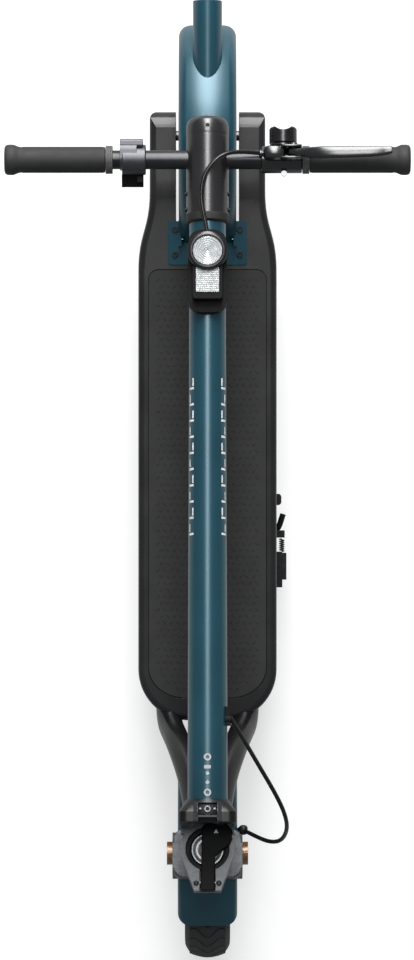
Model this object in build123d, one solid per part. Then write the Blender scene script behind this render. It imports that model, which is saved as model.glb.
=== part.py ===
from build123d import *
import math
import os

os.makedirs("parts", exist_ok=True)

# Electric kick scooter, folded: the stem lies back over the deck.
# +X is the rider's left, -Y is forward, +Z is up, and the ground is z = 0. Lengths are in mm.

# ---------------------------------------------------------------- driving dimensions
WHEEL_R = 127.0
TYRE_W = 55.0
RIM_R = 91.0
FRONT_AXLE = (0, -451.0, WHEEL_R)
REAR_AXLE = (0, 425.5, WHEEL_R)
AXLE_R = 6.0
MAGNET_R = 66.5

RAKE = 10.0                  # steering axis leans back from vertical
FOLD = 86.8                  # stem swings down by this much
HINGE = (0, -387.6, 380.5)   # fold hinge, across the scooter
HINGE_BACK = 36.0            # hinge behind the steering axis
HINGE_RISE = 8.0             # hinge above the collar's top face

FENDER_R = 138.0
FENDER_WALL = 3.0
FRONT_FENDER_W = 71.0
REAR_FENDER_W = 69.2
POD_R = 17.4                 # tail-light pod on the rear fender
POD_Z = 234.0
POD_END = 578.5

DECK_W = 168.0
DECK_FRONT = -287.0
DECK_BOTTOM, DECK_TOP = 95.0, 165.0
DECK_CORNER = 62.0
ARM_OUT, ARM_IN = 70.2, 38.5
ARM_REAR = 453.0
SLOT_FRONT = 285.0
MAT_X, MAT_FRONT, MAT_REAR = 71.0, -259.4, 259.7

TUBE_R = 15.0                # neck tubes
HEAD_R = 21.0                # head tube
HEAD_LOW, HEAD_HIGH = -97.0, -36.0
STEERER_R = 15.0
LEG_IN, LEG_OUT = 35.7, 41.7

STEM_R_LOW, STEM_R_MID, STEM_R_TOP = 23.4, 21.7, 21.2
SLEEVE_R = 25.0
SLEEVE_LOW, SLEEVE_HIGH = 703.0, 823.0
BAR_R = 11.1
BAR_Z = 778.5                # handlebar above the collar's top face, along the stem
BAR_HALF = 239.0
CABLE_R = 2.5
RUN_GAP = 0.05               # radial clearance of a running fit

BASE = (Align.CENTER, Align.CENTER, Align.MIN)


def cosd(angle):
    return math.cos(math.radians(angle))


def sind(angle):
    return math.sin(math.radians(angle))


def leaning_plane(angle):
    """Plane whose Z leans back from vertical, placed so that the fold hinge stays where it is."""
    back = Vector(0, cosd(angle), -sind(angle))
    up = Vector(0, sind(angle), cosd(angle))
    origin = Vector(*HINGE) - back * HINGE_BACK - up * HINGE_RISE
    return Plane(origin=origin, x_dir=(1, 0, 0), z_dir=up)


FORK = leaning_plane(RAKE)          # z = 0 is the collar's top face, y is to the rear
STEM = leaning_plane(RAKE + FOLD)   # the same axes, carried round with the folded stem


# ---------------------------------------------------------------- helpers
def save(node, shape):
    solids = shape.solids()
    body = solids[0] if len(solids) == 1 else Compound(children=solids)
    export_step(body, f"parts/{node}.step")


def block(x, y, z):
    """Box between three (low, high) pairs."""
    size = [high - low for low, high in (x, y, z)]
    centre = [(low + high) / 2 for low, high in (x, y, z)]
    return Pos(*centre) * Box(*size)


def rod(radius, start, end):
    axis = Vector(*end) - Vector(*start)
    return Plane(origin=start, z_dir=axis) * Cylinder(radius, axis.length, align=BASE)


def ring(outer, inner, start, end):
    return rod(outer, start, end) - rod(inner, start, end)


def cross_rod(radius, low, high, y, z):
    """Cylinder along X."""
    return rod(radius, (low, y, z), (high, y, z))


def prism_x(points, low, high):
    """Prism along X over a polygon given as (y, z) points."""
    plane = Plane(origin=(low, 0, 0), x_dir=(0, 1, 0), z_dir=(1, 0, 0))
    return extrude(plane * make_face(Polyline(*points, close=True)), high - low)


def turned(points, plane):
    """Solid of revolution of an (r, z) polygon about a plane's Z."""
    profile = make_face(Polyline(*[(r, 0, z) for r, z in points], close=True))
    return plane * revolve(profile, Axis.Z)


def wheel_plane(axle, angle=0.0):
    """Plane through a wheel's axis, whose Y points out from the axle, leaning back by angle."""
    return Plane(origin=axle, x_dir=(1, 0, 0), z_dir=(0, -cosd(angle), sind(angle)))


def wheel_turned(profile, axle):
    """Full ring about an axle, of a face drawn as (x, radius)."""
    return revolve(wheel_plane(axle) * profile, Axis(axle, (1, 0, 0)))


def x_ring(outer, inner, low, high, axle):
    """Ring about an axle between two x positions."""
    y, z = axle[1], axle[2]
    return ring(outer, inner, (low, y, z), (high, y, z))


def corner_radii(points):
    """Largest tangent radius of each corner: 0.45 of the shorter run over the tangent of half the turn."""
    radii = []
    for before, here, after in zip(points, points[1:], points[2:]):
        run_in = Vector(*here) - Vector(*before)
        run_out = Vector(*after) - Vector(*here)
        shorter = min(run_in.length, run_out.length)
        radii.append(0.45 * shorter / math.tan(math.radians(run_in.get_angle(run_out)) / 2))
    return radii


def bent_tube(points, radius, name, bore=0.0):
    """Tube along straight runs joined by tangent arcs."""
    radii = corner_radii(points)
    path = FilletPolyline(*points, radius=radii)
    start = Plane(origin=path @ 0, z_dir=path % 0)
    section = Circle(radius) - Circle(bore) if bore else Circle(radius)
    tube = sweep(start * section, path=path)
    expected = math.pi * (radius ** 2 - bore ** 2) * path.length
    print(name, "radii", [round(r) for r in radii], "volume ratio", round(tube.volume / expected, 4))
    return tube


def both_sides(shape):
    return shape + mirror(shape, Plane.YZ)


def mirrored(*shapes):
    return [mirror(shape, Plane.YZ) for shape in shapes]


# ---------------------------------------------------------------- wheels
def tyre(axle):
    bead = 19.0
    shoulder = (20.5, WHEEL_R - 7.5)
    side = (TYRE_W / 2, RIM_R + 18)
    edge = Line((-bead, RIM_R), (bead, RIM_R))
    right = ThreePointArc((bead, RIM_R), side, shoulder)
    crown = ThreePointArc(shoulder, (0, WHEEL_R), (-shoulder[0], shoulder[1]))
    left = ThreePointArc((-shoulder[0], shoulder[1]), (-side[0], side[1]), (-bead, RIM_R))
    return wheel_turned(make_face([edge, right, crown, left]), axle)


def rim_band(axle):
    return x_ring(RIM_R, RIM_R - 6, -21, 21, axle)


def spokes(axle, count, hub_r, width, thick):
    """Flat spokes between the hub and the rim band."""
    spoke = block((-thick / 2, thick / 2), (-width / 2, width / 2), (hub_r - 3, RIM_R - 4))
    return [Pos(*axle) * Rot(i * 360 / count, 0, 0) * spoke for i in range(count)]


def front_rim(axle):
    hub = x_ring(46, 14, -19, 19, axle)
    rim = rim_band(axle) + hub
    for spoke in spokes(axle, 6, 46, 22, 16):
        rim = rim + spoke
    drum = x_ring(38, 13, 4, 20, axle)
    valve_hole = Pos(*axle) * Rot(30, 0, 0) * rod(3, (0, 0, 70), (0, 0, 100))
    return rim - drum - valve_hole


def wheel_bearings(axle, low, high, outer):
    """Two bearing rings that run on the axle."""
    bore = AXLE_R + RUN_GAP
    return x_ring(outer, bore, low, low + 8, axle) + x_ring(outer, bore, high - 8, high, axle)


def rear_hub(axle):
    """Hub motor shell: a closed drum with a ring of magnets inside, ribbed covers and the rim."""
    shell = x_ring(76, 14, -29, 29, axle) - x_ring(70, 13, -25, 25, axle)
    hub = shell + rim_band(axle) + x_ring(RIM_R - 5, 74, -12, 12, axle)
    hub = hub + x_ring(70.5, MAGNET_R, -15, 15, axle)
    for side in (-1, 1):
        rib = block((side * 31 - 2.2, side * 31 + 2.2), (-2.5, 2.5), (24, 66))
        for i in range(10):
            hub = hub + Pos(*axle) * Rot(i * 36, 0, 0) * rib
    return hub


def motor_stator(axle):
    """Wound stator with teeth, fixed on the axle inside the hub."""
    core = x_ring(46, AXLE_R, -15, 15, axle)
    tooth = block((-15, 15), (-5, 5), (44, 65))
    for i in range(12):
        core = core + Pos(*axle) * Rot(i * 30, 0, 0) * tooth
    return core


def axle_shaft(axle, half):
    return cross_rod(AXLE_R, -half, half, axle[1], axle[2])


def hex_nut(axle, low, high, across):
    y, z = axle[1], axle[2]
    plane = Plane(origin=(low, y, z), z_dir=(1, 0, 0))
    nut = plane * extrude(RegularPolygon(across / 2, 6, major_radius=False), high - low)
    return nut - cross_rod(AXLE_R, low - 1, high + 1, y, z)


# ---------------------------------------------------------------- fenders
def fender_section(width, lip):
    """Channel section as (x, radius): crowned top with two side lips."""
    round_r = 9.0
    outer = Pos(0, FENDER_R - lip / 2) * RectangleRounded(width, lip + 2 * round_r, round_r)
    inner = Pos(0, FENDER_R - FENDER_WALL - lip / 2) * RectangleRounded(
        width - 2 * FENDER_WALL, lip + 2 * round_r, round_r - FENDER_WALL
    )
    keep = Pos(0, FENDER_R - lip / 2 + round_r) * Rectangle(width + 2, lip)
    return Pos(0, -round_r) * ((outer - inner) & keep)


def fender_arc(axle, width, lip, rear_angle, front_angle):
    section = wheel_plane(axle, rear_angle) * fender_section(width, lip)
    return revolve(section, Axis(axle, (1, 0, 0)), revolution_arc=rear_angle + front_angle)


def front_fender():
    fender = fender_arc(FRONT_AXLE, FRONT_FENDER_W, 20, 64, 34)
    return round_tip(fender, FRONT_FENDER_W, FRONT_AXLE, -34)


def round_tip(fender, width, axle, angle):
    """Rounds the two corners of a fender's end, seen from above."""
    radius = 16.0
    tip = axle[1] + FENDER_R * sind(angle)
    away = 1 if angle > 0 else -1
    half = width / 2
    corner = block((half - radius, half + 1), sorted((tip - away * radius, tip + away * 30)), (60, 320))
    post = rod(radius, (half - radius, tip - away * radius, 50), (half - radius, tip - away * radius, 330))
    return fender - both_sides(corner - post)


def rear_fender():
    """Rear mudguard with its mounting plate in front and the tail-light pod behind."""
    arc = fender_arc(REAR_AXLE, REAR_FENDER_W, 20, 71, 70)
    arc = round_tip(arc, REAR_FENDER_W, REAR_AXLE, 71)
    y, z = REAR_AXLE[1], REAR_AXLE[2]
    pod = rod(POD_R, (0, 480, POD_Z), (0, POD_END, POD_Z))
    pod = pod - rod(POD_R - 2.5, (0, 530, POD_Z), (0, POD_END + 1, POD_Z))
    pod = pod - cross_rod(FENDER_R - FENDER_WALL, -60, 60, y, z)
    plate = Pos(0, 292.5) * RectangleRounded(95.2, 53, 4) - Pos(0, 310) * Rectangle(REAR_FENDER_W - 7, 36)
    plate = slab(plate, DECK_TOP, DECK_TOP + 3)
    ledge = both_sides(block((REAR_FENDER_W / 2 - FENDER_WALL, 35.2), (288, 319), (DECK_TOP, 178)))
    fender = arc + pod + plate + ledge
    fender = fender - block((-60, 60), (200, 330), (100, DECK_TOP))
    for x, hole_y in fender_screw_places():
        fender = fender - rod(2.6, (x, hole_y, DECK_TOP - 1), (x, hole_y, DECK_TOP + 4))
    return fender


def fender_screw_places():
    return [(x, y) for x in (-39.4, 39.4) for y in (278.5, 309.0)]


def screw(radius, head_r, tip, head, depth=1.6):
    """Round-headed screw standing along Z, from its tip up to its head."""
    x, y = tip[0], tip[1]
    shank = rod(radius, tip, (x, y, head))
    cap = rod(head_r, (x, y, head), (x, y, head + 2.2))
    return shank + cap - rod(head_r * 0.45, (x, y, head + 2.2 - depth), (x, y, head + 3))


def tail_lens():
    """Red lens plugged into the pod's end."""
    lens = rod(POD_R - 2.6, (0, 546, POD_Z), (0, POD_END - 1, POD_Z))
    return fillet(lens.edges().sort_by(Axis.Y)[-1], 4)


# ---------------------------------------------------------------- deck
def planform(front=DECK_FRONT, wide=DECK_W / 2, corner=DECK_CORNER):
    """Deck seen from above: big front corners, and an S-shaped taper into the rear arms."""
    taper_from, taper_to = 258.0, 357.0
    middle = (taper_from + taper_to) / 2
    edges = [
        Line((0, front), (wide - corner, front)),
        RadiusArc((wide - corner, front), (wide, front + corner), -corner),
        Line((wide, front + corner), (wide, taper_from)),
        Bezier((wide, taper_from), (wide, middle), (ARM_OUT, middle), (ARM_OUT, taper_to)),
        Line((ARM_OUT, taper_to), (ARM_OUT, ARM_REAR - 10)),
        RadiusArc((ARM_OUT, ARM_REAR - 10), (ARM_OUT - 10, ARM_REAR), -10),
        Line((ARM_OUT - 10, ARM_REAR), (0, ARM_REAR)),
        Line((0, ARM_REAR), (0, front)),
    ]
    half = make_face(edges)
    return half + mirror(half, Plane.YZ)


def mat_outline(gap):
    """Mat outline with tight rear corners and long swept front corners, grown by gap."""
    rear_r = 12.0 + gap
    corner_x, corner_y = 47.0 + gap, 38.0 + gap
    x, front, rear = MAT_X + gap, MAT_FRONT - gap, MAT_REAR + gap
    half = make_face([
        Line((0, front), (x - corner_x, front)),
        Bezier(
            (x - corner_x, front), (x - 0.42 * corner_x, front),
            (x, front + 0.42 * corner_y), (x, front + corner_y),
        ),
        Line((x, front + corner_y), (x, rear - rear_r)),
        RadiusArc((x, rear - rear_r), (x - rear_r, rear), -rear_r),
        Line((x - rear_r, rear), (0, rear)),
        Line((0, rear), (0, front)),
    ])
    return half + mirror(half, Plane.YZ)


def slab(face, low, high):
    return Pos(0, 0, low) * extrude(face, high - low)


def deck_body():
    body = slab(planform(), DECK_BOTTOM, DECK_TOP)
    body = fillet(body.faces().sort_by(Axis.Z)[-1].edges(), 8)
    body = fillet(body.faces().sort_by(Axis.Z)[0].edges(), 12)
    wheel_slot = block((-ARM_IN, ARM_IN), (SLOT_FRONT, 500), (0, 300))
    battery_bay = block((-76, 76), (-232, 262), (98, 150)) + block((-66, 66), (-232, 250), (150, 160))
    bottom_hole = block((-66, 66), (-215, 245), (90, 100))
    body = body - wheel_slot - battery_bay - bottom_hole - slab(mat_outline(1.0), 157.5, 170)
    end_r = 20.0
    end = block((-80, 80), (ARM_REAR - end_r, ARM_REAR + 2), (DECK_TOP - end_r, DECK_TOP + 2))
    body = body - (end - cross_rod(end_r, -80, 80, ARM_REAR - end_r, DECK_TOP - end_r))
    body = body - both_sides(block((ARM_IN + 4, ARM_OUT - 5), (300, 405), (90, 157)))
    for side in (-1, 1):
        body = body - cross_rod(AXLE_R, side * 30, side * 90, REAR_AXLE[1], WHEEL_R)
        body = body - cross_rod(15, side * 55, side * 90, REAR_AXLE[1], WHEEL_R)
        body = body - bent_path_solid(side)
    for x, y in fender_screw_places():
        body = body - rod(2.5, (x, y, DECK_TOP - 14), (x, y, DECK_TOP + 1))
    x, y, z = charge_port_centre()
    body = body - rod(14, (x - 5, y, z), (x + 3.2, y, z))
    body = body - block((x - 5, x + 3.2), (y - 10.5, y + 10.5), (z - 13.8, z - 8))
    return body - rod(9, (x - 5, y, z), (x + 20, y, z))


def deck_plate():
    return slab(mat_outline(0.7), 157.6, 161.8)


def deck_mat():
    return slab(mat_outline(0.0), 162.0, 164.6)


def bottom_cover():
    return block((-65.7, 65.7), (-214.7, 244.7), (DECK_BOTTOM, 98))


def charge_port_centre():
    return (-DECK_W / 2, -175.0, 128.0)


def charge_port():
    x, y, z = charge_port_centre()
    socket = rod(8.8, (x + 3.4, y, z), (x + 19, y, z))
    return socket - rod(5.5, (x + 3, y, z), (x + 15, y, z)) + rod(1.2, (x + 6, y, z), (x + 16, y, z))


def charge_cap():
    """Round rubber flap that sits flush in its recess, with a hinge roll along its lower edge."""
    x, y, z = charge_port_centre()
    flap = rod(13.4, (x + 0.2, y, z), (x + 2.8, y, z))
    flap = flap - block((x - 1, x + 4), (y - 20, y + 20), (z - 20, z - 11.5))
    return flap + rod(1.2, (x + 1.5, y - 6, z - 11.7), (x + 1.5, y + 6, z - 11.7))


# ---------------------------------------------------------------- neck and head tube
def neck_points(side):
    return [
        (side * 48, -250, 121),
        (side * 47, -289, 152),
        (side * 34, -313, 212),
        (side * 20, -350, 257),
        (side * 8, -416, 317),
    ]


def bent_path_solid(side):
    """Outer shape of a neck tube, for the sockets that it is welded into."""
    return bent_tube(neck_points(side), TUBE_R, "neck socket")


def neck_tubes():
    return Compound(children=[neck_tube(side) for side in (-1, 1)])


def neck_tube(side):
    tube = bent_tube(neck_points(side), TUBE_R, "neck tube", TUBE_R - 2.5)
    other_half = block(sorted((0, -side * 80)), (-500, 0), (0, 500))
    head = FORK * Cylinder(HEAD_R, 400)
    return tube - other_half - head


def head_tube():
    profile = [
        (17, HEAD_LOW + 10), (19, HEAD_LOW + 10), (19, HEAD_LOW), (HEAD_R + 2, HEAD_LOW),
        (HEAD_R + 2, HEAD_LOW + 8), (HEAD_R, HEAD_LOW + 11), (HEAD_R, HEAD_HIGH - 11),
        (HEAD_R + 2, HEAD_HIGH - 8), (HEAD_R + 2, HEAD_HIGH), (19, HEAD_HIGH),
        (19, HEAD_HIGH - 10), (17, HEAD_HIGH - 10),
    ]
    return turned(profile, FORK) - both_sides(neck_tube_cut(1))


def neck_tube_cut(side):
    """Keeps the head tube's end flares clear of the neck tubes."""
    cut = bent_tube(neck_points(side), TUBE_R, "head tube cope")
    return cut - FORK * Cylinder(HEAD_R, 400)


def headset_bearings():
    low = FORK * ring(18.95, STEERER_R + RUN_GAP, (0, 0, HEAD_LOW), (0, 0, HEAD_LOW + 9.8))
    high = FORK * ring(18.95, STEERER_R + RUN_GAP, (0, 0, HEAD_HIGH - 9.8), (0, 0, HEAD_HIGH))
    return Compound(children=low.solids() + high.solids())


# ---------------------------------------------------------------- fork
CROWN_TOP = -102.0


def fork():
    """Fork casting: a wide rounded crown over the fender and two flat legs down to the axle."""
    y, z = FRONT_AXLE[1], FRONT_AXLE[2]
    leg_outline = [
        (-471, 252), (-463, 272), (-455, 281), (-428, 277), (-421, 268), (-416, 248),
        (-433, z), (y, z - 10), (-469, z),
    ]
    leg = prism_x(leg_outline, LEG_IN, LEG_OUT) + cross_rod(18, LEG_IN, LEG_OUT, y, z)
    shoulder = Pos(0, 3.5) * RectangleRounded(2 * LEG_OUT, 59, 14)
    crown = FORK * slab(shoulder, CROWN_TOP - 26, CROWN_TOP)
    crown = fillet(crown.faces().sort_by(Axis.Z)[-1].edges(), 3)
    crown = crown - cross_rod(FENDER_R + 0.2, -50, 50, y, z)
    body = both_sides(leg) - FORK * Pos(0, 0, CROWN_TOP + 50) * Box(200, 200, 100) + crown
    body = body - FORK * rod(STEERER_R, (0, 0, -130), (0, 0, -60))
    return body - cross_rod(AXLE_R, -50, 50, y, z)


def steerer():
    """Steerer tube with its crown race below and its nut in the collar's bowl."""
    profile = [
        (12.5, -111), (STEERER_R, -111), (STEERER_R, CROWN_TOP), (20, CROWN_TOP), (20, HEAD_LOW - 0.5),
        (STEERER_R, HEAD_LOW - 0.5), (STEERER_R, -19.9), (19, -19.9), (19, -14), (12.5, -14),
    ]
    tube = turned(profile, FORK)
    return tube - cross_rod(FENDER_R + 0.2, -50, 50, FRONT_AXLE[1], FRONT_AXLE[2])


LEVER_PIVOT = (-39.4, -5.0)      # (y, z) of the lever's pin in the collar's front ears
LEVER_BOTTOM, LEVER_TOP = -9.0, -1.0


def lever_outline(gap):
    """Fold lever seen from above: a straight handle with a wide paddle at its rear, to the left."""
    points = [
        (-8.2, -48.6), (8.6, -48.6), (8.6, -9), (16, -2), (25, 4), (28.6, 12), (28.4, 21), (22, 29),
        (-2, 29.5), (-6, 24), (-7, 0),
    ]
    face = make_face(Polyline(*points, close=True))
    face = fillet(face.vertices(), 2.5)
    return offset(face, gap) if gap else face


def folding_collar():
    """Cast collar on the steerer: a bowl with front ears for the lever and rear lugs for the hinge."""
    bowl = Circle(32) + make_face(Polyline((-31, -8), (-15.5, -49), (15.5, -49), (31, -8), close=True))
    collar = slab(bowl, -30, 0) + rod(24, (0, 0, HEAD_HIGH + 0.5), (0, 0, -29))
    lug_outline = [(18, -26), (18, 0), (29, 0), (29, HINGE_RISE), (43, HINGE_RISE), (43, -8), (34, -26)]
    lug = prism_x(lug_outline, 18.6, 31) + cross_rod(7, 18.6, 31, HINGE_BACK, HINGE_RISE)
    collar = collar + both_sides(lug)
    collar = collar - rod(25.5, (0, 0, -20), (0, 0, 1)) - block((-9.2, 9.2), (-55, 0), (-20, 1))
    collar = collar - slab(lever_outline(0.7), -10.2, 1) - rod(STEERER_R, (0, 0, -40), (0, 0, 0))
    collar = collar - cross_rod(3.5, -60, 60, HINGE_BACK, HINGE_RISE)
    collar = collar - cross_rod(2.5, -60, 60, *LEVER_PIVOT)
    return FORK * (collar - both_sides(cross_rod(4, 16, 60, *LEVER_PIVOT)))


def collar_pins():
    """Hinge pin with two heads, and the fold lever's pin with its washers."""
    hinge = cross_rod(3.45, -31, 31, HINGE_BACK, HINGE_RISE)
    hinge = hinge + both_sides(cross_rod(5.4, 31, 33.4, HINGE_BACK, HINGE_RISE))
    lever = cross_rod(2.45, -17.4, 17.4, *LEVER_PIVOT) + both_sides(cross_rod(3.7, 16.1, 17.4, *LEVER_PIVOT))
    return FORK * Compound(children=hinge.solids() + lever.solids())


def fold_lever():
    handle = slab(lever_outline(0), LEVER_BOTTOM, LEVER_TOP)
    handle = fillet(handle.faces().sort_by(Axis.Z)[-1].edges(), 1.5)
    hook = block((-4, 4), (-24.6, -19.6), (-15.4, LEVER_BOTTOM + 1))
    bore = cross_rod(2.5, -20, 20, *LEVER_PIVOT)
    return FORK * (handle + hook - bore)


def side_reflectors():
    y, z = FRONT_AXLE[1], FRONT_AXLE[2]
    cap = cross_rod(14, LEG_OUT + 0.1, 49.5, y, z) - cross_rod(11.5, LEG_OUT, 47, y, z)
    caps = both_sides(cap)
    return Compound(children=caps.solids())


def front_axle():
    """Axle with a spacer and a nut at each end."""
    spacer = x_ring(9, AXLE_R, 22, LEG_IN, FRONT_AXLE)
    nut = hex_nut(FRONT_AXLE, LEG_OUT, 46.5, 18)
    return Compound(children=[axle_shaft(FRONT_AXLE, 46), spacer, nut, *mirrored(spacer, nut)])


def rear_axle():
    """Axle with a nut at each end, inside the arms."""
    nut = hex_nut(REAR_AXLE, 55.2, 63.5, 19)
    return Compound(children=[axle_shaft(REAR_AXLE, 66), nut, *mirrored(nut)])


def brake_plate():
    """Fixed plate of the drum brake, on the rider's left of the front wheel, with its cam arm's boss."""
    plate = x_ring(43, 9, 21, 27, FRONT_AXLE)
    y, z = FRONT_AXLE[1], FRONT_AXLE[2]
    return plate + cross_rod(5, 26, 30, y + 26, z + 12)


def brake_shoes():
    shoes = x_ring(35, 27, 6, 19, FRONT_AXLE)
    y, z = FRONT_AXLE[1], FRONT_AXLE[2]
    gap = block((0, 25), (y - 50, y + 50), (z - 4, z + 4))
    web = x_ring(27, 23, 11, 14, FRONT_AXLE)
    return Compound(children=(shoes + web - gap).solids())


# ---------------------------------------------------------------- cables
def lower_cable():
    points = [
        (26, -270, 398), (43, -298, 397), (61, -329, 393), (78, -358, 385), (90, -383, 372),
        (94, -403, 351), (88, -419, 324), (76, -424, 295), (61, -421, 268), (45, -413.5, 255),
    ]
    return bent_tube(points, CABLE_R, "lower cable")


def brake_line():
    """Cable from the fork's shoulder down behind the leg to the brake arm."""
    points = [(44.5, -411.5, 248), (42.5, -410, 230), (39, -415, 205), (32.5, -422, 178), (31, -424, 150)]
    return bent_tube(points, CABLE_R, "brake line")


def upper_cable():
    points = [
        (62, -17, 783), (38, -25, 784.5), (14, -32.5, 778), (-4, -33, 757), (-8.5, -31, 731),
        (-4, -30.5, 706), (0, -29.5, 686),
    ]
    return STEM * bent_tube(points, CABLE_R, "upper cable")


# ---------------------------------------------------------------- stem
STEM_LOW, STEM_MID, STEM_TOP = 6.0, 560.0, 812.0      # heights along the stem that its radii belong to


def stem_radius(z):
    """Stem radius below the middle height, where it tapers evenly."""
    share = (z - STEM_LOW) / (STEM_MID - STEM_LOW)
    return STEM_R_LOW + (STEM_R_MID - STEM_R_LOW) * share


def stem_tube_outer():
    profile = [
        (0, STEM_LOW), (STEM_R_LOW, STEM_LOW), (STEM_R_MID, STEM_MID), (STEM_R_TOP, STEM_TOP), (0, STEM_TOP),
    ]
    return turned(profile, Plane.XY)


def stem_tube():
    wall = 2.6
    outside = [(STEM_R_LOW, STEM_LOW), (STEM_R_MID, STEM_MID), (STEM_R_TOP, STEM_TOP)]
    profile = outside + [(r - wall, z) for r, z in reversed(outside)]
    tube = turned(profile, Plane.XY) - cross_rod(BAR_R, -40, 40, 0, BAR_Z)
    channel = block((-11.4, 11.4), (-40, -20.5), (0, 22.5))
    return STEM * (tube - channel)


def stem_foot():
    """Cast foot that flares from the stem to the collar's width, with the hinge knuckle at its rear."""
    base = slab(Pos(0, -1.5) * RectangleRounded(67, 59, 10), 0.1, 12)
    flare = loft([Pos(0, -1.5, 12) * RectangleRounded(67, 59, 10), Pos(0, 0, 27) * Circle(24.8)])
    knuckle = prism_x([(18, 1), (HINGE_BACK, 1), (HINGE_BACK, 15), (18, 24)], -18.2, 18.2)
    knuckle = knuckle + cross_rod(7, -18.2, 18.2, HINGE_BACK, HINGE_RISE)
    foot = base + flare
    for side in (-1, 1):
        foot = foot - cross_rod(8.2, *sorted((side * 18.2, side * 40)), HINGE_BACK, HINGE_RISE)
        foot = foot - block(sorted((side * 18.2, side * 40)), (28.6, 50), (0, 20))
    foot = foot + knuckle - stem_tube_outer()
    foot = foot - cross_rod(3.5, -40, 40, HINGE_BACK, HINGE_RISE)
    channel = block((-11, 11), (-40, -20), (-1, 22))
    return STEM * (foot - channel - cross_rod(2.5, -13, 13, *LATCH_PIN))


LATCH_PIN = (-28.4, 5.6)         # (y, z) of the pin that the fold lever's hook catches


def latch_parts():
    """Two bright ribs beside the foot's channel, and the latch pin, screw and spring clip in it."""
    rib = block((12.2, 16.2), (-33.4, -31.1), (1, 23))
    pin = cross_rod(2.45, -13, 13, *LATCH_PIN)
    z = 15.0
    screw_head = rod(4.3, (0, -24.6, z), (0, -28.2, z)) - rod(2, (0, -29, z), (0, -26.4, z))
    clip = ring(7.2, 5.4, (0, -25.8, z), (0, -27.8, z)) - block((-10, 10), (-40, -20), (z + 2, 30))
    return STEM * Compound(children=[rib, *mirrored(rib), pin, screw_head, clip])


def stem_fittings():
    """Two eyelets, a small plate and two rivets down the front of the stem."""
    pieces = []
    for z in (34.0, 74.8):
        y = -stem_radius(z)
        pieces.append(rod(4.35, (0, y + 0.6, z), (0, y - 1.1, z)) - rod(2.1, (0, y + 0.4, z), (0, y - 2, z)))
    y = -stem_radius(63.3)
    pieces.append(block((-3.9, 3.9), (y - 0.6, y + 0.4), (61.4, 65.4)))
    for z in (45.5, 56.0):
        y = -stem_radius(z)
        pieces.append(rod(2.2, (0, y + 0.4, z), (0, y - 0.9, z)))
    clear = stem_tube_outer()
    return STEM * Compound(children=[solid for piece in pieces for solid in (piece - clear).solids()])


def head_sleeve():
    """Moulded sleeve over the stem's top, closed by an oval dome, that the handlebar passes through."""
    dome_from = SLEEVE_HIGH - 18
    edges = [
        Line((0, 0, SLEEVE_LOW), (SLEEVE_R - 2, 0, SLEEVE_LOW)),
        Line((SLEEVE_R - 2, 0, SLEEVE_LOW), (SLEEVE_R, 0, SLEEVE_LOW + 7)),
        Line((SLEEVE_R, 0, SLEEVE_LOW + 7), (SLEEVE_R, 0, dome_from)),
        Bezier(
            (SLEEVE_R, 0, dome_from), (SLEEVE_R, 0, dome_from + 10), (SLEEVE_R * 0.55, 0, SLEEVE_HIGH),
            (0, 0, SLEEVE_HIGH),
        ),
        Line((0, 0, SLEEVE_HIGH), (0, 0, SLEEVE_LOW)),
    ]
    sleeve = revolve(make_face(edges), Axis.Z) - stem_tube_outer()
    sleeve = sleeve - cross_rod(BAR_R, -40, 40, 0, BAR_Z)
    sleeve = sleeve - DISPLAY_PLANE * Pos(0, 0, 10) * Box(26, 34, 20)
    return STEM * (sleeve - rod(3.2, (0, -30, BUTTON_Z), (0, -21.3, BUTTON_Z)))


BUTTON_Z = 811.0
DISPLAY_PLANE = Plane(origin=(0, 22.6, 792), x_dir=(1, 0, 0), z_dir=(0, 1, 0.05))


def display():
    """Dashboard window on the rider's side of the sleeve."""
    return STEM * DISPLAY_PLANE * Pos(0, 0, 1.3) * Box(25.6, 33.6, 2.4)


def power_button():
    """Round button near the sleeve's top, on its front."""
    return STEM * rod(3.0, (0, -21.9, BUTTON_Z), (0, -25.3, BUTTON_Z))


def handlebar():
    return STEM * (cross_rod(BAR_R, -233, 233, 0, BAR_Z) - cross_rod(BAR_R - 2, -234, 234, 0, BAR_Z))


def grip(side):
    """Rubber grip with a flared outer flange, closed at its end."""
    points = [
        (0, 233.2), (BAR_R, 233.2), (BAR_R, 120.2), (15.4, 120.2), (15.4, 221), (16.6, 224), (18, 227),
        (18, 236), (15.5, BAR_HALF), (0, BAR_HALF),
    ]
    plane = Plane(origin=(0, 0, BAR_Z), x_dir=(0, 0, 1), z_dir=(side, 0, 0))
    return STEM * turned(points, plane)


def grip_rings():
    """Clamp rings at the grips' inner ends."""
    rings = [ring(16.6, BAR_R, (side * 111.4, 0, BAR_Z), (side * 120, 0, BAR_Z)) for side in (-1, 1)]
    return STEM * Compound(children=rings)


def throttle_housing():
    body = block((-103, -83.2), (-17, 15), (BAR_Z - 12, BAR_Z + 21))
    body = fillet(body.edges().filter_by(Axis.X), 12)
    cap = block((-103, -76), (-16, 12), (BAR_Z + 12.5, BAR_Z + 22.5))
    body = body + fillet(cap.edges().filter_by(Axis.X), 3)
    return STEM * (body - cross_rod(BAR_R, -120, -60, 0, BAR_Z) - cross_rod(17.6, -83.2, -70, 0, BAR_Z))


def throttle_lever():
    """Thumb lever that turns about the handlebar."""
    hub = ring(17.2, BAR_R + RUN_GAP, (-82.8, 0, BAR_Z), (-75.4, 0, BAR_Z))
    arm = block((-82.8, -75.4), (3, 12), (BAR_Z - 26, BAR_Z - 12))
    paddle = prism_x([(4, -16), (13, -15), (17, -29), (12, -30.5)], -101, -75.4)
    lever = hub + arm - cross_rod(BAR_R + RUN_GAP, -90, -60, 0, BAR_Z) + Pos(0, 0, BAR_Z) * paddle
    return STEM * lever


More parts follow.
